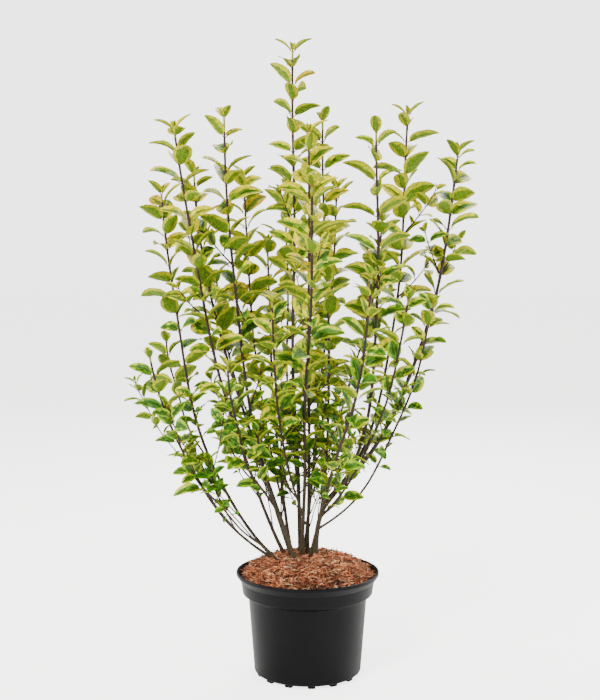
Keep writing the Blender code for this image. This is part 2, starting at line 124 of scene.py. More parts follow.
# Corners, faces, finishes and UVs that pile up into one mesh
class Gathered:
    def __init__(self):
        self.corners, self.faces, self.finishes, self.uvs = [], [], [], []

    def add(self, corners, faces, finishes, uvs=None):
        first = len(self.corners)
        self.corners += [tuple(corner) for corner in corners]
        self.faces += [tuple(first + index for index in face) for face in faces]
        self.finishes += finishes if isinstance(finishes, list) else [finishes] * len(faces)
        self.uvs += uvs or [(0.0, 0.0)] * len(corners)

    def piece(self, name, materials, slot, nodes=(), sharpAngle=None):
        mesh = bpy.data.meshes.new(name)
        mesh.from_pydata(self.corners, [], self.faces)
        for material in materials:
            mesh.materials.append(material)
        mesh.polygons.foreach_set("material_index", self.finishes)
        layer = mesh.uv_layers.new(name="UVMap")
        for loop in mesh.loops:
            layer.data[loop.index].uv = self.uvs[loop.vertex_index]
        mesh.shade_smooth()
        if sharpAngle:
            mesh.set_sharp_from_angle(angle=math.radians(sharpAngle))
        placed(bpy.data.objects.new(name, mesh), nodes)


# the camera stands where the photograph was taken from
view = {"place": (-0.0123, -1.85, 0.66), "pitch": 4.21, "lens": 59.8, "sensor": 36.0}
camera = bpy.data.objects.new("camera", bpy.data.cameras.new("camera"))
camera.location = view["place"]
camera.rotation_euler = (math.radians(90 - view["pitch"]), 0, 0)
camera.data.lens, camera.data.sensor_width = view["lens"], view["sensor"]
show(camera)
bpy.context.scene.camera = camera

studio = {
    "world": 0.46,
    "backdrop": 3.5,  # how bright the white paper behind and below looks to the camera
    # place, aim, width, height, power
    "lamps": {
        "key": ((-1.6, -2.4, 2.6), (0, 0, 0.6), 1.3, 1.3, 205),
        "fill": ((2.2, -1.8, 1.6), (0, 0, 0.5), 0.8, 2.0, 46),
        "rim": ((0.6, 2.2, 2.4), (0, 0, 0.7), 1.6, 1.2, 90),
        "leftEdge": ((-1.5, 0.1, 0.5), (0, 0, 0.15), 0.35, 1.6, 14),
        "rightEdge": ((1.4, 0.5, 0.5), (0, 0, 0.15), 0.45, 1.6, 22),
    },
    "floor": "#f4f4f2",
    "floorReach": 30.0,
    "floorGlow": 0.91,  # share of the backdrop's brightness that the floor shows
    "floorRoughness": 0.9,
}


def buildStudio():
    world = bpy.data.worlds.new("studio")
    world.use_nodes = True
    tree, background = world.node_tree, world.node_tree.nodes["Background"]
    seen = {"Value": addNode(tree, "ShaderNodeLightPath").outputs["Is Camera Ray"]}
    levels = {"To Min": studio["world"], "To Max": studio["backdrop"]}
    brightness = addNode(tree, "ShaderNodeMapRange", levels, seen).outputs["Result"]
    wire(tree, background, {"Color": (1, 1, 1, 1)}, {"Strength": brightness})
    bpy.context.scene.world = world
    for name, (place, aim, width, height, power) in studio["lamps"].items():
        lamp = show(bpy.data.objects.new(name, bpy.data.lights.new(name, "AREA")))
        lamp.data.shape = "RECTANGLE"
        lamp.data.size, lamp.data.size_y, lamp.data.energy = width, height, power
        lamp.location = place
        lamp.rotation_euler = (Vector(aim) - Vector(place)).to_track_quat("-Z", "Y").to_euler()
    reach = studio["floorReach"]
    corners = [(-reach, -reach, 0), (reach, -reach, 0), (reach, reach, 0), (-reach, reach, 0)]
    mesh = bpy.data.meshes.new("floor")
    mesh.from_pydata(corners, [], [(0, 1, 2, 3)])
    # matt white paper
    made, tree, shader = newMaterial("matte_paper_floor")
    seen = {0: addNode(tree, "ShaderNodeLightPath").outputs["Is Camera Ray"]}
    level = {1: studio["backdrop"] * studio["floorGlow"]}
    glow = addNode(tree, "ShaderNodeMath", level, seen, operation="MULTIPLY").outputs[0]
    colour = linear(studio["floor"])
    values = {"Base Color": colour, "Emission Color": colour, "Roughness": studio["floorRoughness"]}
    wire(tree, shader, values, {"Emission Strength": glow})
    mesh.materials.append(made)
    floor = show(bpy.data.objects.new("floor", mesh))


buildStudio()
print("stage: studio")

# places on the pot's outline are radius and height
pot = {
    "segments": 144,
    "height": 0.167,
    "lip": (0.115, 0.162),
    "lipWidth": 0.0025,
    "collarTop": (0.1075, 0.152),
    "collarFoot": (0.1047, 0.1325),
    "wallTop": (0.0955, 0.1265),
    "wallFoot": (0.0863, 0.0066),
    "base": (0.0837, 0.004),
    "wall": 0.0016,
    "floorTop": 0.0065,
    "rounding": 0.0009,
    "roundSteps": 4,
    "feet": 14,
    "firstFoot": -86.0,
    "foot": (0.0129, 0.0119, 0.0045),  # width, depth, height
    "footTaper": 0.80,
    "footReach": 0.0829,
    "footStep": 0.03,  # how much broader a foot is above its chamfer, as a share of its width
    "footChamfer": 0.0006,
    "sharpAngle": 50,
    "dark": "#030304",
    "worn": "#08080a",
    "scuffs": {"Scale": 38.0, "Detail": 5.0, "Roughness": 0.65},  # 26 mm
    "peel": {"Scale": 900.0, "Detail": 2.0},  # 1.1 mm, drawn coarser than real orange peel
    "relief": {"Strength": 0.10, "Distance": 0.0004},
    "roughness": {"To Min": 0.30, "To Max": 0.44},
    "gloss": {"IOR": 1.49, "Specular IOR Level": 0.14},
}


# An outline whose inner corners are turned with short curves, which take up at most a share of a side
def rounded(outline, size, steps, most=0.4):
    made = [outline[0]]
    for before, corner, after in zip(outline, outline[1:], outline[2:]):
        corner = Vector(corner)
        back, ahead = Vector(before) - corner, Vector(after) - corner
        near = min(size, back.length * most, ahead.length * most)
        start, end = corner + back.normalized() * near, corner + ahead.normalized() * near
        for step in range(steps + 1):
            t = step / steps
            made.append(tuple(start * (1 - t) ** 2 + corner * 2 * t * (1 - t) + end * t * t))
    made.append(outline[-1])
    return made


# Corners and faces of an outline turned round Z
def turnedFaces(outline, segments):
    corners, rings, faces = [], [], []
    for radius, height in outline:
        count = segments if radius else 1
        rings.append([len(corners) + step for step in range(count)])
        for step in range(count):
            angle = math.tau * step / segments
            corners.append((radius * math.cos(angle), radius * math.sin(angle), height))
    for low, high in zip(rings, rings[1:]):
        for a, b in ((step, (step + 1) % segments) for step in range(segments)):
            face = (low[a % len(low)], low[b % len(low)], high[b % len(high)], high[a % len(high)])
            faces.append(tuple(dict.fromkeys(face)))
    return corners, faces


# Injection-moulded polypropylene with carbon black: satin, with a faint orange peel and dull scuffs
def mouldedPlastic():
    made, tree, shader = newMaterial("moulded_polypropylene_black")
    place = {"Vector": addNode(tree, "ShaderNodeTexCoord").outputs["Object"]}
    colour, scuffs = strayed(tree, place, pot["scuffs"], linear(pot["dark"]), linear(pot["worn"]))
    peel = addNode(tree, "ShaderNodeTexNoise", pot["peel"], place).outputs["Fac"]
    rough = addNode(tree, "ShaderNodeMapRange", pot["roughness"], {"Value": scuffs}).outputs["Result"]
    bump = addNode(tree, "ShaderNodeBump", pot["relief"], {"Height": peel}).outputs["Normal"]
    wire(tree, shader, pot["gloss"], {"Base Color": colour, "Roughness": rough, "Normal": bump})
    return made


def buildPot():
    lipRadius, wall, chamfer, taper = pot["lip"][0], pot["wall"], pot["footChamfer"], pot["footTaper"]
    outer = [(0.0, pot["base"][1])]
    outer += [pot[name] for name in ("base", "wallFoot", "wallTop", "collarFoot", "collarTop", "lip")]
    outer += [(lipRadius, pot["height"])]
    inner = [(lipRadius - pot["lipWidth"], pot["height"])]
    inner += [(pot[name][0] - wall, pot[name][1]) for name in ("collarTop", "collarFoot", "wallTop")]
    inner += [(pot["wallFoot"][0] - wall, pot["floorTop"]), (0.0, pot["floorTop"])]
    gathered = Gathered()
    outline = rounded(outer + inner, pot["rounding"], pot["roundSteps"])
    gathered.add(*turnedFaces(outline, pot["segments"]), 0)
    width, depth, height = pot["foot"]
    # height, share of the width, and inset of a foot's three rings
    rings = ((0.0, taper, chamfer), (chamfer, taper + pot["footStep"], 0.0), (height, 1.0, 0.0))
    for index in range(pot["feet"]):
        angle = math.radians(pot["firstFoot"] + 360 * index / pot["feet"])
        outward = Vector((math.cos(angle), math.sin(angle), 0))
        sideways = Vector((-outward.y, outward.x, 0))
        corners = []
        for z, share, inset in rings:
            half = width * share / 2 - inset
            for reach, side in ((inset, 1), (inset, -1), (depth - inset, -1), (depth - inset, 1)):
                flat = outward * (pot["footReach"] - reach) + sideways * side * half
                corners.append(flat + Vector((0, 0, z)))
        gathered.add(corners, [(3, 2, 1, 0), *boxSides(0), *boxSides(4)], 0)
    gathered.piece("nursery_pot", [mouldedPlastic()], "pot", ["pot"], sharpAngle=pot["sharpAngle"])


buildPot()
print("stage: pot")

mulch = {
    "top": 0.189,
    "flatRadius": 0.056,
    "shoulders": ((0.075, 0.183), (0.092, 0.173)),  # radius and height
    "edge": (0.1052, 0.160),
    "overlap": 0.003,  # how far the compost runs on past its edge, into the pot's wall
    "sink": 0.0042,  # the compost lies this far under the CAD's surface, and the chips fill it up
    "rings": 44,
    "segments": 120,
    "roughness": 0.0016,
    "scatterRadius": 0.1015,
    "lumps": ((160, 1.0), (420, 0.6)),  # 6 mm and 2.4 mm, and their shares of the unevenness
    "lift": 0.0006,  # the highest chips lie this far above the CAD's surface
    "firstSeed": 21,
    "compost": "#4a2618",
    # length, width and thickness in mm, number per square metre, tilt in degrees
    "chips": {
        "flakes": ((6, 13), (2.0, 3.8), (0.7, 1.3), 30000, 22),
        "splinters": ((8, 22), (0.7, 1.5), (0.5, 1.0), 90000, 24),
        "crumbs": ((2.5, 5), (1.2, 2.4), (0.7, 1.4), 50000, 50),
    },
    # colour, and share of the chips
    "tints": {
        "rust": ("#ac5a34", 0.33),
        "pale": ("#d08c5e", 0.22),
        "brown": ("#87492b", 0.20),
        "dark": ("#4a2414", 0.15),
        "straw": ("#e2b988", 0.10),
    },
    "fibres": {"Scale": 260.0, "Detail": 6.0, "Roughness": 0.7},  # 4 mm
    "patches": {"Scale": 45.0, "Detail": 2.0},  # 22 mm
    "balance": 0.8,
    "ramp": ((0.70, 0.42), (0.86, 1.0), (0.98, 1.35)),  # place on the ramp, and how light the colour is
    "relief": {"Strength": 0.5, "Distance": 0.0008},
    "gloss": {"Roughness": 0.88, "IOR": 1.45},
}

# one torn chip, in shares of its length and width
chip = {
    "variants": 9,
    "stations": 5,
    "bend": (-0.12, 0.12),
    "wander": (-0.12, 0.12),
    "ragged": (-0.04, 0.04),
    "end": 0.35,
    "middle": (0.75, 1.0),
    "thickness": (0.6, 1),
    "sizes": (0.75, 1.15),
}


def mulchHeight(radius):
    levels = [(0.0, mulch["top"]), (mulch["flatRadius"], mulch["top"]), *mulch["shoulders"], mulch["edge"]]
    for (near, high), (far, low) in zip(levels, levels[1:]):
        if radius <= far:
            return high + (low - high) * (radius - near) / (far - near)
    return mulch["edge"][1]


# Shredded bark: dry and matt, with darker fibres along it and a rough broken face
def shreddedBark(name, hexText):
    made, tree, shader = newMaterial(name)
    place = {"Vector": addNode(tree, "ShaderNodeTexCoord").outputs["Object"]}
    fibres = addNode(tree, "ShaderNodeTexNoise", mulch["fibres"], place).outputs["Fac"]
    patches = addNode(tree, "ShaderNodeTexNoise", mulch["patches"], place).outputs["Fac"]
    both = addNode(tree, "ShaderNodeMath", links={0: fibres, 1: patches}, operation="ADD").outputs[0]
    even = addNode(tree, "ShaderNodeMath", {1: mulch["balance"]}, {0: both}, operation="MULTIPLY")
    ramp = addNode(tree, "ShaderNodeValToRGB", links={"Fac": even.outputs[0]})
    stops = ramp.color_ramp.elements
    for index, (spot, level) in enumerate(mulch["ramp"]):
        stop = stops[index] if index < len(stops) else stops.new(spot)
        stop.position, stop.color = spot, linear(hexText, level)
    bump = addNode(tree, "ShaderNodeBump", mulch["relief"], {"Height": fibres}).outputs["Normal"]
    wire(tree, shader, mulch["gloss"], {"Base Color": ramp.outputs["Color"], "Normal": bump})
    return made


# The heaped surface as corners and faces, from the axis out to a radius
def mulchSurface(reach):
    outline = [(0.0, mulchHeight(0) - mulch["sink"])]
    for ring in range(1, mulch["rings"] + 1):
        radius = reach * ring / mulch["rings"]
        outline.append((radius, mulchHeight(radius) - mulch["sink"]))
    corners, faces = turnedFaces(outline, mulch["segments"])
    made = []
    for corner in corners:
        spot = Vector(corner)
        lift = sum(share * noise.noise(spot * scale) for scale, share in mulch["lumps"])
        made.append(spot + Vector((0, 0, lift * mulch["roughness"])))
    return made, faces


# One torn chip: a bent slab of uneven width with ragged ends, lying along X
def chipShape(dice, spans):
    length, width, thick = (dice.uniform(*span) * mm for span in spans)
    last = chip["stations"] - 1
    bend = dice.uniform(*chip["bend"]) * length
    corners, faces = [], []
    for station in range(chip["stations"]):
        t = station / last
        half = width / 2 * (chip["end"] if station in (0, last) else dice.uniform(*chip["middle"]))
        y = dice.uniform(*chip["wander"]) * width
        z = bend * (4 * (t - 0.5) ** 2 - 0.5)
        for side, level in ((-1, -1), (1, -1), (1, 1), (-1, 1)):
            x = (t - 0.5) * length + dice.uniform(*chip["ragged"]) * length
            corners.append((x, y + side * half, z + level * thick / 2 * dice.uniform(*chip["thickness"])))
    for first in range(0, last * 4, 4):
        faces += [(first + (k + 1) % 4, first + 4 + (k + 1) % 4, first + 4 + k, first + k) for k in range(4)]
    faces += [(3, 2, 1, 0), tuple(range(last * 4, last * 4 + 4))]
    return corners, [], faces


# A few chips of one kind to pick from
def chipCollection(name, kind, dice):
    made = bpy.data.collections.new(name)
    for index in range(chip["variants"]):
        mesh = bpy.data.meshes.new(f"{name}_{index}")
        mesh.from_pydata(*chipShape(dice, kind[:3]))
        made.objects.link(bpy.data.objects.new(f"{name}_{index}", mesh))
    return made


# Scatters a collection's pieces over a surface, with named inputs for what differs
def scatterTree():
    tree = bpy.data.node_groups.new("scatter", "GeometryNodeTree")
    sockets = {"Surface": "Geometry", "Pieces": "Collection", "Density": "Float", "Seed": "Int"}
    sockets |= {"Tilt": "Float", "Lift": "Float", "Finish": "Material"}
    for name, kind in sockets.items():
        tree.interface.new_socket(name, in_out="INPUT", socket_type="NodeSocket" + kind)
    tree.interface.new_socket("Scattered", in_out="OUTPUT", socket_type="NodeSocketGeometry")
    given = addNode(tree, "NodeGroupInput").outputs
    seed = {"Seed": given["Seed"]}
    links = {"Mesh": given["Surface"], "Density": given["Density"], **seed}
    points = addNode(tree, "GeometryNodeDistributePointsOnFaces", links=links).outputs["Points"]
    values = {"Separate Children": True, "Reset Children": True}
    pieces = addNode(tree, "GeometryNodeCollectionInfo", values, {"Collection": given["Pieces"]})
    tilt = given["Tilt"]
    back = addNode(tree, "ShaderNodeMath", {1: -1.0}, {0: tilt}, operation="MULTIPLY").outputs[0]
    least = addNode(tree, "ShaderNodeCombineXYZ", links={"X": back, "Y": back}).outputs[0]
    most = addNode(tree, "ShaderNodeCombineXYZ", {"Z": math.tau}, {"X": tilt, "Y": tilt}).outputs[0]
    links = {0: least, 1: most, **seed}
    turn = addNode(tree, "FunctionNodeRandomValue", links=links, data_type="FLOAT_VECTOR").outputs[0]
    small, large = chip["sizes"]
    size = addNode(tree, "FunctionNodeRandomValue", {2: small, 3: large}, seed, data_type="FLOAT")
    links = {3: given["Lift"], **seed}
    rise = addNode(tree, "FunctionNodeRandomValue", {2: 0.0}, links, data_type="FLOAT").outputs[1]
    offset = addNode(tree, "ShaderNodeCombineXYZ", links={"Z": rise}).outputs[0]
    links = {"Geometry": points, "Offset": offset}
    lifted = addNode(tree, "GeometryNodeSetPosition", links=links).outputs[0]
    links = {"Points": lifted, "Instance": pieces.outputs[0], "Rotation": turn, "Scale": size.outputs[1]}
    laid = addNode(tree, "GeometryNodeInstanceOnPoints", {"Pick Instance": True}, links).outputs[0]
    real = addNode(tree, "GeometryNodeRealizeInstances", links={0: laid}).outputs[0]
    links = {"Geometry": real, "Material": given["Finish"]}
    finished = addNode(tree, "GeometryNodeSetMaterial", links=links).outputs[0]
    addNode(tree, "NodeGroupOutput", links={"Scattered": finished})
    return tree


# Sets a modifier's input by its socket's identifier
def setInput(modifier, name, value):
    for item in modifier.node_group.interface.items_tree:
        if item.item_type == "SOCKET" and item.in_out == "INPUT" and item.name == name:
            modifier[item.identifier] = value


# A plain mesh piece of what the scatter tree lays on a surface
def scattered(name, surface, tree, values):
    carrier = show(bpy.data.objects.new(name + "_carrier", surface))
    modifier = carrier.modifiers.new("scatter", "NODES")
    modifier.node_group = tree
    for key, value in values.items():
        setInput(modifier, key, value)
    graph = bpy.context.evaluated_depsgraph_get()
    mesh = bpy.data.meshes.new_from_object(carrier.evaluated_get(graph))
    mesh.name = name
    bpy.data.objects.remove(carrier, do_unlink=True)
    mesh.validate()
    placed(bpy.data.objects.new(name, mesh))


def buildMulch():
    gathered = Gathered()
    gathered.add(*mulchSurface(mulch["edge"][0] + mulch["overlap"]), 0)
    gathered.piece("compost", [shreddedBark("damp_compost", mulch["compost"])], "mulch", ["mulch"])
    surface = bpy.data.meshes.new("scatter_surface")
    corners, faces = mulchSurface(mulch["scatterRadius"])
    surface.from_pydata(corners, [], faces)
    tree = scatterTree()
    finishes = {tint: shreddedBark(f"shredded_bark_{tint}", row[0]) for tint, row in mulch["tints"].items()}
    seed = mulch["firstSeed"]
    for kindName, kind in mulch["chips"].items():
        for tint, (_, share) in mulch["tints"].items():
            pieces = chipCollection(f"{kindName}_{tint}", kind, random.Random(seed))
            values = {
                "Pieces": pieces,
                "Density": kind[3] * share,
                "Seed": seed,
                "Tilt": math.radians(kind[4]),
                "Lift": mulch["sink"] + mulch["lift"],
                "Finish": finishes[tint],
            }
            scattered(f"bark_{kindName}_{tint}", surface, tree, values)
            for thing in list(pieces.objects):
                bpy.data.objects.remove(thing, do_unlink=True)
            bpy.data.collections.remove(pieces)
            seed += 1


buildMulch()
print("stage: mulch")

growth = {
    "buried": 0.012,
    "rootFlare": 0.35,
    "flareHeight": 0.018,
    "tipRadius": 0.0017,
    "elbowPasses": 40,  # how often the bend above a stump is smoothed
    "footHold": 0.28,
    "tipHold": 0.36,
    "sway": 0.0030,
    "swayWaves": 1.7,
    "sprigRadius": 0.0014,
    "steps": 80,
    "stumpSteps": 10,
    "canePhase": 2.4,  # radians of sway from one stem to the next
    "shootPhase": 1.7,
    "taper": 0.85,
    "sprigRise": 0.35,
    "sprigTipLean": 15,
    "sprigBare": 0.32,  # share of a sprig without leaves
    "ringTurn": 0.4,  # radians from X at which a ring's first corner lies
    "seed": 1000,
    "seedStep": 37,
}

# foot x and y, foot radius, lean, heading, tip x, y and z, tip lean, height where the leaves begin;
# mm and degrees
canes = {
    "left": (-46, 16, 2.6, 51, 180, -236, 40, 774, 5, 400),
    "left_front": (-33, 24, 2.8, 27, 182, -204, -60, 866, 8, 345),
    "middle_left": (-18, -6, 2.9, 18, 204, -184, 50, 806, 2, 350),
    "inner_left": (-22, 14, 2.9, 22, 180, -131, -10, 889, 1, 360),
    "leader": (-11, 32, 3.4, 3, 170, -24, 10, 995, 0, 345),
    "front": (-9, 12, 3.0, 4, 275, 5, -185, 771, 4, 330),
    "centre_front": (0, 24, 2.6, 6, 280, 1, -90, 858, 2, 335),
    "centre_back": (5, 40, 2.8, 18, 25, 25, 85, 895, 1, 330),
    "right": (12, 22, 3.9, 62, 356, 246, 64, 845, 6, 420),
    "back": (-4, 52, 2.8, 16, 78, 52, 200, 792, 4, 340),
    "back_left": (-25, 44, 2.7, 22, 120, -70, 222, 700, 5, 330),
    "far_left": (-40, 3, 2.0, 64, 184, -240, -92, 519, 12, 330),
    "front_right": (2, 4, 2.6, 20, 296, 88, -218, 640, 6, 310),
    "thin_left": (-37, -17, 1.3, 46, 192, -174, -70, 330, 36, 285),
}
stumps = {"right": (86, 3, 30)}  # length, lean, heading

# parent, share of its length, radius, lean, heading, tip x, y and z, tip lean, height where the leaves begin
sideShoots = {
    "left_back": ("left", 0.24, 1.6, 34, 165, -238, 110, 530, 6, 385),
    "low_left": ("front", 0.13, 1.8, 24, 212, -53, -150, 604, 3, 330),
    "low_front_left": ("middle_left", 0.14, 1.9, 46, 228, -116, -190, 515, 8, 300),
    "back_left_high": ("back_left", 0.14, 2.0, 26, 130, -109, 170, 812, 3, 400),
    "leader_back": ("leader", 0.13, 2.0, 18, 120, -36, 112, 802, 2, 360),
    "centre_right": ("right", 0.125, 2.9, 44, 340, 103, -72, 859, 0, 370),
    "right_back": ("right", 0.20, 2.5, 40, 30, 163, 62, 902, 3, 420),
    "low_right": ("right", 0.072, 1.8, 60, 350, 191, -62, 600, 10, 330),
    "front_right_low": ("front_right", 0.18, 1.8, 46, 345, 146, -150, 608, 10, 400),
    "right_back_low": ("centre_back", 0.14, 1.8, 40, 30, 104, 142, 606, 5, 380),
    "back_low": ("back", 0.21, 1.8, 36, 72, 20, 216, 610, 4, 370),
    "back_right": ("back", 0.15, 1.9, 34, 50, 132, 205, 735, 5, 380),
    "back_left_low": ("back_left", 0.28, 1.8, 44, 165, -160, 205, 640, 7, 370),
}

# parent, share of its length, lean, heading, length
sprigs = {
    "sprig_middle_left": ("middle_left", 0.24, 56, 262, 80),
    "sprig_leader": ("leader", 0.12, 62, 250, 80),
    "sprig_right": ("right", 0.10, 60, 300, 100),
    "sprig_left_front": ("left_front", 0.20, 55, 240, 90),
    "sprig_centre_back": ("centre_back", 0.18, 60, 0, 90),
    "sprig_back_left": ("back_left", 0.25, 58, 235, 90),
}

# the parts of the crown that share a piece
regions = {
    "left": "far_left left left_back left_front thin_left sprig_left_front",
    "middle": "middle_left inner_left low_left low_front_left sprig_middle_left",
    "centre": "leader leader_back front centre_front centre_back sprig_leader sprig_centre_back",
    "right": "right centre_right right_back low_right front_right front_right_low sprig_right",
    "back": "back back_low back_right back_left back_left_high back_left_low sprig_back_left right_back_low",
}


def direction(lean, heading):
    tilt, turn = math.radians(lean), math.radians(heading)
    return Vector((math.sin(tilt) * math.cos(turn), math.sin(tilt) * math.sin(turn), math.cos(tilt)))


def across(tangent, angle):
    flat = Vector((math.cos(angle), math.sin(angle), 0))
    return (flat - tangent * flat.dot(tangent)).normalized()


# A stem's centre line: one smooth bend from its foot to its tip, with a slight sway
class Path:
    def __init__(self, foot, footWay, tip, tipWay, sway=growth["sway"], phase=0.0, stump=None):
        self.points = []
        if stump:
            top = foot + stump
            steps = growth["stumpSteps"]
            self.points = [foot.lerp(top, step / steps) for step in range(steps)]
            foot = top
        span = (tip - foot).length
        first, last = foot + footWay * span * growth["footHold"], tip - tipWay * span * growth["tipHold"]
        sideways = across((tip - foot).normalized(), phase)
        for step in range(growth["steps"] + 1):
            t = step / growth["steps"]
            s = 1 - t
            point = foot * s**3 + first * 3 * s * s * t + last * 3 * s * t * t + tip * t**3
            swing = sway * math.sin(math.tau * growth["swayWaves"] * t + phase) * math.sin(math.pi * t)
            self.points.append(point + sideways * swing)
        if stump:
            for _ in range(growth["elbowPasses"]):
                trios = zip(self.points, self.points[1:], self.points[2:])
                self.points[1:-1] = [(a + b * 2 + c) / 4 for a, b, c in trios]
        self.lengths = [0.0]
        for a, b in zip(self.points, self.points[1:]):
            self.lengths.append(self.lengths[-1] + (b - a).length)
        self.length = self.lengths[-1]

    def at(self, distance):
        last = len(self.points) - 1
        index = 1
        while index < last and self.lengths[index] < distance:
            index += 1
        a, b = self.points[index - 1], self.points[index]
        share = (distance - self.lengths[index - 1]) / (self.lengths[index] - self.lengths[index - 1])
        tangent = (self.points[min(index + 1, last)] - self.points[max(index - 2, 0)]).normalized()
        return a.lerp(b, min(max(share, 0.0), 1.0)), tangent

    def atShare(self, share):
        return self.at(self.length * share)[0]

    def distanceAtHeight(self, height):
        for point, length in zip(self.points, self.lengths):
            if point.z >= height:
                return length
        return self.length


# A path with its taper, and the distance along it where its leaves begin
class Limb:
    def __init__(self, path, footRadius, leavesFrom, tipRadius=growth["tipRadius"], flared=False):
        self.path, self.footRadius, self.tipRadius = path, footRadius, tipRadius
        self.leavesFrom, self.flared = leavesFrom, flared
        self.nodes = []  # distances of the leaf pairs, where the stem is a little thicker

    def radius(self, distance):
        share = max(1 - distance / self.path.length, 0.0)
        radius = self.tipRadius + (self.footRadius - self.tipRadius) * share ** growth["taper"]
        if self.flared:
            height = max(self.path.at(distance)[0].z - mulch["top"], 0.0)
            radius *= 1 + growth["rootFlare"] * math.exp(-height / growth["flareHeight"])
        return radius


# Where a limb is at a distance along it, and two ways across it
def ringAt(limb, distance):
    point, tangent = limb.path.at(distance)
    right = across(tangent, growth["ringTurn"])
    return point, right, tangent.cross(right)


def limbFromRow(row, foot, phase, flared, stump=None):
    radius, lean, heading, tipX, tipY, tipZ, tipLean, leafHeight = row
    tip = Vector((tipX, tipY, tipZ)) * mm
    outward = math.degrees(math.atan2(tip.y - foot.y, tip.x - foot.x))
    path = Path(foot, direction(lean, heading), tip, direction(tipLean, outward), phase=phase, stump=stump)
    return Limb(path, radius * mm, path.distanceAtHeight(leafHeight * mm), flared=flared)


def layOutLimbs():
    limbs = {}
    for number, (name, (x, y, *row)) in enumerate(canes.items()):
        foot = Vector((x * mm, y * mm, mulch["top"] - growth["buried"]))
        stump = None
        if name in stumps:
            length, lean, heading = stumps[name]
            stump = direction(lean, heading) * (length * mm + growth["buried"])
        limbs[name] = limbFromRow(row, foot, growth["canePhase"] * number, True, stump)
    for number, (name, (parent, share, *row)) in enumerate(sideShoots.items()):
        foot = limbs[parent].path.atShare(share)
        limbs[name] = limbFromRow(row, foot, growth["shootPhase"] * number, False)
    for name, (parent, share, lean, heading, length) in sprigs.items():
        foot = limbs[parent].path.atShare(share)
        way = direction(lean, heading)
        tip = foot + way * length * mm + Vector((0, 0, length * mm * growth["sprigRise"]))
        path = Path(foot, way, tip, direction(growth["sprigTipLean"], heading), sway=0.0)
        limbs[name] = Limb(path, growth["sprigRadius"], path.length * growth["sprigBare"])
    return limbs


leafSizes = {
    "spacing": 0.0275,
    "length": 0.0505,
    "tipLength": 0.034,
    "width": 0.54,
    "petiole": 0.0035,
    "petioleRadius": 0.0006,
    "thickness": 0.00045,
    "fold": 0.28,
    "arch": 46.0,  # degrees that the midrib turns down from base to tip
    "archShift": 0.35,  # share of the length where the midrib runs at the leaf's own rise
    "stations": (0.0, 0.07, 0.19, 0.34, 0.50, 0.66, 0.81, 0.93, 1.0),
    "baseRound": 0.55,
    "tipPoint": 0.80,
    "wave": 0.05,
    "roll": (0.22, 0.75),  # radians that a blade turns about its midrib, to either side
    "shed": 0.45,  # chance that the lowest leaves have dropped, which fades up the shoot
    "shedBelow": 0.38,
    "clearance": 0.0005,
    "tries": 4,
    "turnAgain": 14,  # degrees a leaf may turn up or down for its next try
    "shrink": 0.95,  # share of its length that it keeps then
    "sharpAngle": 60,
    "sprigScale": 0.70,
    "lowScale": (0.42, 0.56, 0.44),  # up to this share of a shoot, from this size, growing by this
    "highScale": (0.85, 0.26, 0.15),  # from this share on, shrinking by this, over this share
}

# margin, centre, heart and the share of the half width where the centre ends
leafTints = {
    "gold": ("#e4d200", "#989e00", "#476c04", 0.44),
    "amber": ("#ccaa00", "#8c8000", "#455e04", 0.52),
    "yellow": ("#d8ce00", "#6c8e00", "#2f5802", 0.58),
    "lime": ("#bec800", "#4c7e02", "#235002", 0.66),
    "leaf": ("#90b200", "#3e7604", "#1f4e02", 0.72),
    "fresh": ("#6ca400", "#468204", "#2c6604", 0.86),
}
undersides = ("#bcbc00", "#66880c")  # margin and centre seen from below
# how often a margin, centre or heart patch takes a neighbour's colour, and whose: 0 margin, 1 centre
blotches = ((0.10, 1), (0.20, 0), (0.28, 1))

blade = {
    "veins": 8,  # to a side
    "veinSlant": -0.9,
    "veinDepth": 0.0006,
    "patches": {"Scale": 260.0, "Detail": 3.0, "Roughness": 0.6},  # 4 mm
    "spread": {"From Min": 0.36, "From Max": 0.62},
    "shade": 0.62,
    "lit": 1.22,
    "midrib": 0.018,
    "midribShow": 0.45,
    "midribTint": "#8ea010",
    "gloss": {"IOR": 1.42, "Specular IOR Level": 0.30},
    "top": (0.44, 0.35),  # roughness, and strength of the veins
    "below": (0.62, 0.5),
    "centreEnd": (-0.14, 0.14),  # how far a leaf's centre differs from its tint's
    "edgeStray": (-0.17, 0.17),
    "edgeLimits": (0.16, 0.93),
    "edgeTaper": 0.45,
    "heart": (0.35, 0.7),
    "waves": (1.2, 2.2),
    "waveShift": 1.3,
    "foldPower": 1.25,
}


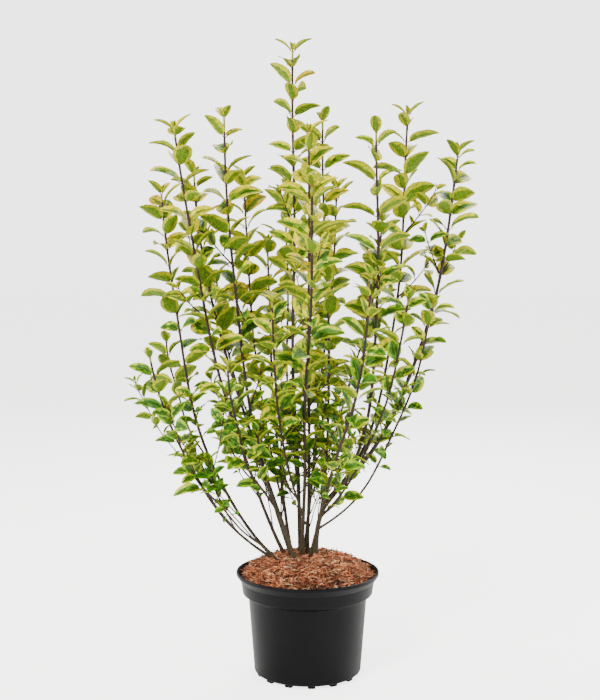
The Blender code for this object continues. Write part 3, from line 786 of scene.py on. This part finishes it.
# A living privet leaf: waxy and half glossy, with a pale midrib and shallow side veins
def leafBlade(name, hexText, roughness, relief):
    made, tree, shader = newMaterial(name)
    coordinates = addNode(tree, "ShaderNodeTexCoord").outputs
    uv = addNode(tree, "ShaderNodeSeparateXYZ", links={0: coordinates["UV"]}).outputs
    centred = addNode(tree, "ShaderNodeMath", {1: 0.5}, {0: uv["X"]}, operation="SUBTRACT").outputs[0]
    out = addNode(tree, "ShaderNodeMath", links={0: centred}, operation="ABSOLUTE").outputs[0]
    # side veins leave the midrib at a slant
    slope = {1: blade["veinSlant"]}
    slant = addNode(tree, "ShaderNodeMath", slope, {0: out}, operation="MULTIPLY").outputs[0]
    along = addNode(tree, "ShaderNodeMath", links={0: uv["Y"], 1: slant}, operation="ADD").outputs[0]
    turns = {1: math.tau * blade["veins"]}
    phase = addNode(tree, "ShaderNodeMath", turns, {0: along}, operation="MULTIPLY").outputs[0]
    ribs = addNode(tree, "ShaderNodeMath", links={0: phase}, operation="COSINE").outputs[0]
    depth = {"Strength": relief, "Distance": blade["veinDepth"]}
    bump = addNode(tree, "ShaderNodeBump", depth, {"Height": ribs}).outputs["Normal"]
    place = {"Vector": coordinates["Object"]}
    shade, lit = linear(hexText, blade["shade"]), linear(hexText, blade["lit"])
    blend, _ = strayed(tree, place, blade["patches"], shade, lit, blade["spread"])
    width = {1: blade["midrib"]}
    midrib = addNode(tree, "ShaderNodeMath", width, {0: out}, operation="LESS_THAN").outputs[0]
    share = {1: blade["midribShow"]}
    faint = addNode(tree, "ShaderNodeMath", share, {0: midrib}, operation="MULTIPLY").outputs[0]
    tint = {7: linear(blade["midribTint"])}
    ribbed = addNode(tree, "ShaderNodeMix", tint, {0: faint, 6: blend}, data_type="RGBA").outputs[2]
    values = {"Roughness": roughness, **blade["gloss"]}
    wire(tree, shader, values, {"Base Color": ribbed, "Normal": bump})
    return made


def leafMaterials():
    made = []
    for tint, row in leafTints.items():
        for part, hexText in zip(("margin", "centre", "heart"), row):
            made.append(leafBlade(f"privet_leaf_{tint}_{part}", hexText, *blade["top"]))
    for part, hexText in zip(("margin", "centre"), undersides):
        made.append(leafBlade(f"privet_underside_{part}", hexText, *blade["below"]))
    return made


# Half width along a leaf: rounded at its base, widest before the middle, drawn to a point
def leafHalfWidth(t, half):
    base, point = leafSizes["baseRound"], leafSizes["tipPoint"]
    peak = base / (base + point)
    return half * t**base * (1 - t) ** point / (peak**base * (1 - peak) ** point)


# The way across a leaf, and its midrib's stations and their upward ways, from base to tip
def leafFrame(leaf):
    tangent, outward, rise = leaf["tangent"], leaf["outward"], leaf["rise"]
    reach = leaf["stemRadius"] + leafSizes["petiole"]
    point, before = leaf["root"] + slanted(outward, tangent, rise) * reach, 0.0
    arch = math.radians(leaf["arch"])
    points, tops = [], []
    for t in leafSizes["stations"]:
        angle = rise + arch * (leafSizes["archShift"] - t)
        point = point + slanted(outward, tangent, angle) * leaf["length"] * (t - before)
        before = t
        points.append(point)
        tops.append(slanted(tangent, outward, -angle))
    return outward.cross(tangent), points, tops


# One leaf as a thin closed blade: heart, centre and margin on top, centre and margin below
def addLeaf(gathered, leaf, dice):
    first = list(leafTints).index(leaf["tint"]) * 3
    under = len(leafTints) * 3
    side, points, tops = leafFrame(leaf)
    half = leaf["length"] * leafSizes["width"] / 2 * leaf["broad"]
    centreEnd = leafTints[leaf["tint"]][3] + dice.uniform(*blade["centreEnd"])
    waves, phase = dice.uniform(*blade["waves"]), dice.uniform(0, math.tau)
    corners, uvs, faces, finishes = [], [], [], []

    def corner(point, top, u, width, t, drop):
        turn = leaf["roll"] + leaf["twist"] * t
        lean, up = slanted(side, top, turn), slanted(top, side, -turn)
        fold = leafSizes["fold"] * abs(u) ** blade["foldPower"] * width * leaf["fold"]
        swing = math.sin(math.tau * waves * t + phase + (blade["waveShift"] if u > 0 else 0))
        ripple = leafSizes["wave"] * width * abs(u) * swing
        corners.append(point + lean * u * width + up * (fold + ripple - drop))
        uvs.append((0.5 + u / 2, t))
        return len(corners) - 1

    topRows, lowRows = [], []
    least, most = blade["edgeLimits"]
    for t, point, top in zip(leafSizes["stations"], points, tops):
        if t in (0.0, 1.0):
            only = corner(point, top, 0.0, 0.0, t, 0.0)
            topRows.append([only] * 7)
            lowRows.append([only] * 5)
            continue
        width = leafHalfWidth(t, half)
        shares = []
        for _ in range(2):
            stray = centreEnd + dice.uniform(*blade["edgeStray"])
            edge = min(max(stray, least), most) * (1 - blade["edgeTaper"] * t**3)
            shares.append((edge * dice.uniform(*blade["heart"]), edge))
        (heartL, edgeL), (heartR, edgeR) = shares
        line = (-1.0, -edgeL, -heartL, 0.0, heartR, edgeR, 1.0)
        row = [corner(point, top, u, width, t, 0.0) for u in line]
        low = [corner(point, top, u, width, t, leafSizes["thickness"]) for u in (-edgeL, 0.0, edgeR)]
        topRows.append(row)
        lowRows.append([row[0], *low, row[6]])
    for a, b in zip(topRows, topRows[1:]):
        for k in range(6):
            faces.append(tuple(dict.fromkeys((a[k], b[k], b[k + 1], a[k + 1]))))
            finishes.append(first + patchPart(min(k, 5 - k), dice))
    for a, b in zip(lowRows, lowRows[1:]):
        for k, part in enumerate((0, 1, 1, 0)):
            faces.append(tuple(dict.fromkeys((a[k], a[k + 1], b[k + 1], b[k]))))
            finishes.append(under + part)
    gathered.add(corners, faces, finishes, uvs)


# Which colour a patch of the blade takes: 0 margin, 1 centre, 2 heart, now and then its neighbour's
def patchPart(part, dice):
    chance, neighbour = blotches[part]
    return neighbour if dice.random() < chance else part


# The leaf as a plain six-cornered shape that other leaves keep clear of
def roomOf(leaf):
    side, points, tops = leafFrame(leaf)
    half = leaf["length"] * leafSizes["width"] / 2 * leaf["broad"]
    fold = leafSizes["fold"] * half * leaf["fold"]
    middle = len(points) // 2
    clear = leafSizes["clearance"]
    widest, top = points[middle - 1], tops[middle - 1]
    lean, up = slanted(side, top, leaf["roll"]), slanted(top, side, -leaf["roll"])
    corners = [
        points[0] + tops[0] * clear,
        points[0] - tops[0] * clear,
        widest + lean * half + up * fold,
        widest - lean * half + up * fold,
        points[-1],
        widest,
    ]
    faces = [(0, 2, 5), (2, 4, 5), (0, 5, 3), (5, 4, 3), (1, 4, 2), (1, 3, 4)]
    return corners, faces


# Middle, reach and search tree of a shape
def spaceOf(corners, faces):
    middle = sum(corners, Vector()) / len(corners)
    reach = max((corner - middle).length for corner in corners)
    return middle, reach, BVHTree.FromPolygons(corners, faces)


# What already stands in the crown, so that no leaf's plain shape runs into it; thin twigs aren't in it
class Crown:
    def __init__(self):
        self.taken = []

    def isFree(self, space):
        middle, reach, tree = space
        for centre, size, standing in self.taken:
            if (centre - middle).length < reach + size and tree.overlap(standing):
                return False
        return True

    def addStem(self, limb, start, end):
        count = max(1, round((end - start) / stems["roomLength"]))
        for piece in range(count):
            corners = []
            for share in (piece / count, (piece + 1) / count):
                distance = start + (end - start) * share
                point, right, back = ringAt(limb, distance)
                radius = limb.radius(distance) * stems["roomWidth"] + leafSizes["clearance"]
                corners += [point + way * radius for way in (right, back, -right, -back)]
            self.taken.append(spaceOf(corners, boxSides(0)))


# shoots whose leaves are smaller than those of the tall ones
leafScales = {"far_left": 0.84, "left_back": 0.84, "low_left": 0.84, "low_front_left": 0.78}
leafScales |= {"front_right": 0.86, "front_right_low": 0.82, "low_right": 0.80}
leafScales |= {"back_low": 0.84, "right_back_low": 0.84}

lowTwigs = {
    "each": 3,
    "heights": (0.215, 0.335),
    "lengths": (0.075, 0.170),
    "leans": (18, 58),
    "radius": 0.0011,
    "bare": (0.2, 0.5),  # share of the twig without leaves
    "leafScale": 0.62,
    "leafSpacing": 0.016,
    "golden": -0.08,
    "upright": (0.75, 1.6),  # a twig flatter than this is turned up by this much
    "rise": 0.25,
    "tipLift": 1.2,
    "sway": 0.0015,
    "phase": (0, 6),
    "tipRadius": 0.0007,
}


# A short twig that turns up towards its tip
def twigPath(foot, way, length, look, phase=0.0):
    tip = foot + way * length + Vector((0, 0, length * look["rise"]))
    tipWay = (way + Vector((0, 0, look["tipLift"]))).normalized()
    return Path(foot, way, tip, tipWay, look["sway"], phase)


# Thin inner twigs low on a cane, with a few small leaves that stay green in the shade
def lowTwigsOf(limb, dice):
    made = []
    steep, gain = lowTwigs["upright"]
    for _ in range(lowTwigs["each"]):
        start = limb.path.distanceAtHeight(dice.uniform(*lowTwigs["heights"]))
        foot, tangent = limb.path.at(start)
        outward = across(tangent, dice.uniform(0, math.tau))
        way = slanted(tangent, outward, math.radians(dice.uniform(*lowTwigs["leans"])))
        way = (way + Vector((0, 0, max(steep - way.z, 0.0) * gain))).normalized()
        length = dice.uniform(*lowTwigs["lengths"])
        path = twigPath(foot, way, length, lowTwigs, dice.uniform(*lowTwigs["phase"]))
        bare = path.length * dice.uniform(*lowTwigs["bare"])
        made.append(Limb(path, lowTwigs["radius"], bare, tipRadius=lowTwigs["tipRadius"]))
    return made


def leafLength(share, strength):
    (lowEnd, least, gain), (highStart, loss, span) = leafSizes["lowScale"], leafSizes["highScale"]
    size = 1.0
    if share < lowEnd:
        size = least + gain * share / lowEnd
    elif share > highStart:
        size = 1.0 - loss * (share - highStart) / span
    return leafSizes["length"] * size * strength


# warmth is 0 at the first height and grows by 1 over the second; each tint ends at a warmth
warming = {
    "heights": (0.25, 0.43),
    "stray": (-0.35, 0.35),
    "tints": (("fresh", -0.08), ("leaf", 0.34), ("lime", 0.78), ("yellow", 1.25)),
    "amber": 0.10,
    "shoot": (-0.22, 0.28),
}


# Leaves are gold near the tops and plain green low down; a shoot leans one way or the other
def pickTint(height, dice, golden):
    start, span = warming["heights"]
    warmth = (height - start) / span + golden + dice.uniform(*warming["stray"])
    for tint, end in warming["tints"]:
        if warmth < end:
            return tint
    return "amber" if dice.random() < warming["amber"] else "gold"


# how the leaf pairs stand along a shoot, and the two pairs at its tip
pairs = {
    "bareFoot": 0.006,
    "bareTip": 0.009,
    "sideShed": 0.4,  # share of the shedding on shoots that leave a stem
    "size": (0.76, 1.16),
    "swing": (-0.34, 0.34),
    "rise": (10, 40),
    "riseGain": 14,
    "arch": (0.6, 1.35),
    "broad": (0.88, 1.12),
    "fold": (0.6, 1.3),
    "twist": (-0.3, 0.3),
    "gap": (1.06, 0.16),  # shares of the spacing: at the shoot's foot, and how much is lost by its tip
    "gapStray": (0.85, 1.15),
    "tips": ((1.0, 40), (0.42, 66)),  # size, and rise in degrees
    "tipInset": 0.002,
    "tipSize": (0.85, 1.15),
    "tipRise": (-6, 6),
    "tipArch": 0.7,
    "tipRoll": (-0.2, 0.2),
    "tipLeaf": {"broad": 0.85, "fold": 1.3, "twist": 0.0, "stemRadius": 0.0004, "share": 1.0},
}


# The leaves of one shoot: opposite pairs, each turned a quarter from the last
def leavesAlong(limb, dice, strength, spacing, golden):
    start, end = limb.leavesFrom, limb.path.length
    distance = start + pairs["bareFoot"]
    turn = dice.uniform(0, math.tau)
    shed = leafSizes["shed"] * (1.0 if limb.flared else pairs["sideShed"])
    wide, narrowing = pairs["gap"]
    made = []
    while distance < end - pairs["bareTip"]:
        share = (distance - start) / (end - start)
        limb.nodes.append(distance)
        for hand in (0, 1):
            if dice.random() < shed * (1 - share / leafSizes["shedBelow"]):
                continue
            point, tangent = limb.path.at(distance)
            leaf = {"root": point, "tangent": tangent, "share": share, "stemRadius": limb.radius(distance)}
            leaf["length"] = leafLength(share, strength) * dice.uniform(*pairs["size"])
            leaf["outward"] = across(tangent, turn + math.pi * hand + dice.uniform(*pairs["swing"]))
            leaf["rise"] = math.radians(dice.uniform(*pairs["rise"]) + pairs["riseGain"] * share)
            leaf["arch"] = leafSizes["arch"] * dice.uniform(*pairs["arch"])
            for part in ("broad", "fold", "twist"):
                leaf[part] = dice.uniform(*pairs[part])
            leaf["roll"] = dice.choice((-1, 1)) * dice.uniform(*leafSizes["roll"])
            leaf["tint"] = pickTint(point.z, dice, golden)
            made.append(leaf)
        distance += spacing * (wide - narrowing * share) * dice.uniform(*pairs["gapStray"])
        turn += math.pi / 2
    arch = leafSizes["arch"] * pairs["tipArch"]
    for size, rise in pairs["tips"]:
        for hand in (0, 1):
            point, tangent = limb.path.at(end - pairs["tipInset"])
            leaf = {"root": point, "tangent": tangent, "arch": arch, **pairs["tipLeaf"]}
            leaf["outward"] = across(tangent, turn + math.pi * hand)
            leaf["length"] = leafSizes["tipLength"] * strength * size * dice.uniform(*pairs["tipSize"])
            leaf["rise"] = math.radians(rise + dice.uniform(*pairs["tipRise"]))
            leaf["roll"] = dice.uniform(*pairs["tipRoll"])
            leaf["tint"] = pickTint(point.z, dice, golden)
            made.append(leaf)
        turn += math.pi / 2
    return made


sideTwigs = {
    "chance": 0.095,
    "zone": (0.08, 0.62),
    "length": (0.055, 0.085),
    "lean": 38.0,
    "foot": 0.003,
    "rise": 0.12,
    "tipLift": 0.6,
    "sway": 0.0,
    "radius": 0.0013,
    "tipRadius": 0.0008,
    "bare": 0.016,
    "leafScale": 0.66,
    "leafSpacing": 0.019,
}


# A short side twig that rises from a leaf's axil
def sideTwig(leaf, dice):
    way = slanted(leaf["tangent"], leaf["outward"], math.radians(sideTwigs["lean"]))
    length = dice.uniform(*sideTwigs["length"])
    foot = leaf["root"] + leaf["tangent"] * sideTwigs["foot"]
    path = twigPath(foot, way, length, sideTwigs)
    return Limb(path, sideTwigs["radius"], sideTwigs["bare"], tipRadius=sideTwigs["tipRadius"])


stems = {
    # sides, and the length between rings
    "rings": {"cane": (14, 0.0035), "shoot": (8, 0.007), "twig": (6, 0.006)},
    "overlap": 0.001,  # how far the bark runs on under the green skin
    "reliefRound": 1.6,
    "reliefAlong": 55,
    "streaks": 0.10,
    "pores": 0.07,
    "poreScale": 3.7,
    "nodeSwell": 0.20,
    "nodeReach": 0.0026,
    "collarSwell": 0.45,
    "collarReach": 0.009,
    "oldBelow": 0.34,
    "purpleAbove": 0.42,
    "greenFrom": 0.975,  # share of a shoot's length
    "roomLength": 0.03,  # length of the plain pieces that leaves keep clear of
    "roomWidth": 1.2,
    "freeFoot": 0.01,
    "petioleRings": (1.3, 1.0, 0.5),  # thickness at its foot, where the blade begins, and where it ends
    "petioleRun": 0.10,  # how far it runs under the blade, as a share of the leaf's length
}

# streaks 2.4 mm wide and 15 mm long, drawn coarser than real ones, and patches of film 25 mm wide
bark = {
    "stretch": (1.0, 1.0, 0.16),
    "streaks": {"Scale": 420.0, "Detail": 4.0, "Roughness": 0.6},
    "spread": {"From Min": 0.32, "From Max": 0.68},
    "film": {"Scale": 40.0, "Detail": 2.0},
    "cover": {"From Min": 0.5, "From Max": 0.72, "To Max": 0.6},
    "relief": {"Strength": 0.4, "Distance": 0.0005},
    "gloss": {"IOR": 1.45},
}


# Thin smooth bark or skin: long streaks and, on old stems, a green film in patches
def stemBark(name, dark, light, roughness, filmHex=None):
    made, tree, shader = newMaterial(name)
    place = {"Vector": addNode(tree, "ShaderNodeTexCoord").outputs["Object"]}
    long = {"Vector": addNode(tree, "ShaderNodeMapping", {"Scale": bark["stretch"]}, place).outputs[0]}
    tones = linear(dark), linear(light)
    colour, streaks = strayed(tree, long, bark["streaks"], *tones, bark["spread"])
    if filmHex:
        film = addNode(tree, "ShaderNodeTexNoise", bark["film"], place).outputs["Fac"]
        cover = addNode(tree, "ShaderNodeMapRange", bark["cover"], {"Value": film}).outputs["Result"]
        links = {0: cover, 6: colour}
        colour = addNode(tree, "ShaderNodeMix", {7: linear(filmHex)}, links, data_type="RGBA").outputs[2]
    bump = addNode(tree, "ShaderNodeBump", bark["relief"], {"Height": streaks}).outputs["Normal"]
    values = {"Roughness": roughness, **bark["gloss"]}
    wire(tree, shader, values, {"Base Color": colour, "Normal": bump})
    return made


def stemMaterials():
    return [
        stemBark("old_privet_bark", "#20180d", "#4a3c22", 0.75, "#3c3e16"),
        stemBark("young_privet_bark", "#241610", "#422d20", 0.65),
        stemBark("shoot_skin_purple", "#27161a", "#36201f", 0.6),
        stemBark("shoot_skin_green", "#6a6a20", "#8f9530", 0.5),
        stemBark("petiole_skin", "#74401f", "#a0702a", 0.5),
    ]


# Which of the stem materials a spot takes, by its share of the length and its height
def stemFinish(kind, share, height):
    if kind == "cane":
        return 0 if height < stems["oldBelow"] else 1
    if share > stems["greenFrom"]:
        return 3
    return 2 if height > stems["purpleAbove"] else 1


# A stem with its taper, its swollen nodes and, on the canes, streaks and pores in the mesh
def addStem(gathered, limb, start, end, kind):
    sides, step = stems["rings"][kind]
    count = max(2, round((end - start) / step))
    corners, faces, finishes = [], [], []
    for ring in range(count + 1):
        distance = start + (end - start) * ring / count
        point, right, back = ringAt(limb, distance)
        radius = limb.radius(distance)
        near = min((abs(distance - node) for node in limb.nodes), default=1.0)
        radius *= 1 + stems["nodeSwell"] * math.exp(-((near / stems["nodeReach"]) ** 2))
        if not limb.flared:
            radius *= 1 + stems["collarSwell"] * math.exp(-distance / stems["collarReach"])
        for side in range(sides):
            angle = math.tau * side / sides
            relief = 1.0
            if kind == "cane":
                x, y = math.cos(angle) * stems["reliefRound"], math.sin(angle) * stems["reliefRound"]
                spot = Vector((x, y, distance * stems["reliefAlong"]))
                pores = stems["pores"] * noise.noise(spot * stems["poreScale"])
                relief += stems["streaks"] * noise.noise(spot) + pores
            corners.append(point + slanted(right, back, angle) * radius * relief)
    for ring in range(count):
        share = (start + (end - start) * ring / count) / limb.path.length
        for side in range(sides):
            a, b = ring * sides + side, ring * sides + (side + 1) % sides
            faces.append((a, b, b + sides, a + sides))
            finishes.append(stemFinish(kind, share, corners[a].z))
    faces.append(tuple(reversed(range(sides))))
    faces.append(tuple(range(count * sides, (count + 1) * sides)))
    for distance, corner in ((start, corners[0]), (end, corners[-1])):
        finishes.append(stemFinish(kind, distance / limb.path.length, corner.z))
    gathered.add(corners, faces, finishes)


def addPetiole(gathered, leaf):
    way = slanted(leaf["outward"], leaf["tangent"], leaf["rise"])
    top = slanted(leaf["tangent"], leaf["outward"], -leaf["rise"])
    side = way.cross(top)
    reach = leaf["stemRadius"] + leafSizes["petiole"]
    places = (0.0, reach, reach + leaf["length"] * stems["petioleRun"])
    corners = []
    for along, radius in zip(places, stems["petioleRings"]):
        for k in range(4):
            spread = slanted(side, top, math.tau * k / 4) * leafSizes["petioleRadius"] * radius
            corners.append(leaf["root"] + way * along + spread - top * leafSizes["thickness"])
    gathered.add(corners, [*boxSides(0), *boxSides(4), (3, 2, 1, 0), (8, 9, 10, 11)], 4)


# Builds one region's leaves and shoots and its share of the bark, and counts the leaves
def growRegion(number, members, limbs, crown, blades, shoots, barkPiece):
    total = 0
    low, high = sideTwigs["zone"]
    for name in members:
        limb = limbs[name]
        dice = random.Random(growth["seed"] + growth["seedStep"] * number + list(limbs).index(name))
        strength = leafSizes["sprigScale"] if name in sprigs else leafScales.get(name, 1.0)
        golden = dice.uniform(*warming["shoot"])
        own = leavesAlong(limb, dice, strength, leafSizes["spacing"], golden)
        twigs = []
        for leaf in list(own):
            inZone = name not in sprigs and low < leaf["share"] < high
            if not inZone or dice.random() > sideTwigs["chance"]:
                continue
            twigs.append(sideTwig(leaf, dice))
            own += leavesAlong(twigs[-1], dice, sideTwigs["leafScale"], sideTwigs["leafSpacing"], golden)
        values = lowTwigs["leafScale"], lowTwigs["leafSpacing"], lowTwigs["golden"]
        for twig in lowTwigsOf(limb, dice) if name in canes else ():
            twigs.append(twig)
            own += leavesAlong(twig, dice, *values)
        for twig in twigs:
            addStem(shoots, twig, 0.0, twig.path.length, "twig")
        for leaf in own:
            for _ in range(leafSizes["tries"]):
                space = spaceOf(*roomOf(leaf))
                if crown.isFree(space):
                    crown.taken.append(space)
                    addLeaf(blades, leaf, dice)
                    addPetiole(shoots, leaf)
                    total += 1
                    break
                leaf["rise"] += math.radians(dice.uniform(-leafSizes["turnAgain"], leafSizes["turnAgain"]))
                leaf["length"] *= leafSizes["shrink"]
        addStem(shoots, limb, limb.leavesFrom, limb.path.length, "shoot")
        addStem(barkPiece, limb, 0.0, limb.leavesFrom + stems["overlap"], "cane")
    return total


def buildPlant():
    limbs = layOutLimbs()
    crown = Crown()
    for name, limb in limbs.items():
        crown.addStem(limb, 0.0 if name in canes else stems["freeFoot"], limb.path.length)
    leafFinishes, stemFinishes = leafMaterials(), stemMaterials()
    barkPiece = Gathered()
    allNodes = set(frame["nodes"])
    total = 0
    for number, (region, names) in enumerate(regions.items()):
        members = names.split()
        blades, shoots = Gathered(), Gathered()
        total += growRegion(number, members, limbs, crown, blades, shoots, barkPiece)
        nodes = [f"foliage_{name}" for name in members if f"foliage_{name}" in allNodes]
        blades.piece(f"leaves_{region}", leafFinishes, "foliage", nodes, sharpAngle=leafSizes["sharpAngle"])
        shoots.piece(f"shoots_{region}", stemFinishes, "foliage")
    woody = [name for name in allNodes if name.startswith(("cane_", "bough_"))]
    barkPiece.piece("canes", stemFinishes, "bark", sorted(woody))
    print("leaves", total)


buildPlant()
print("stage: plant")
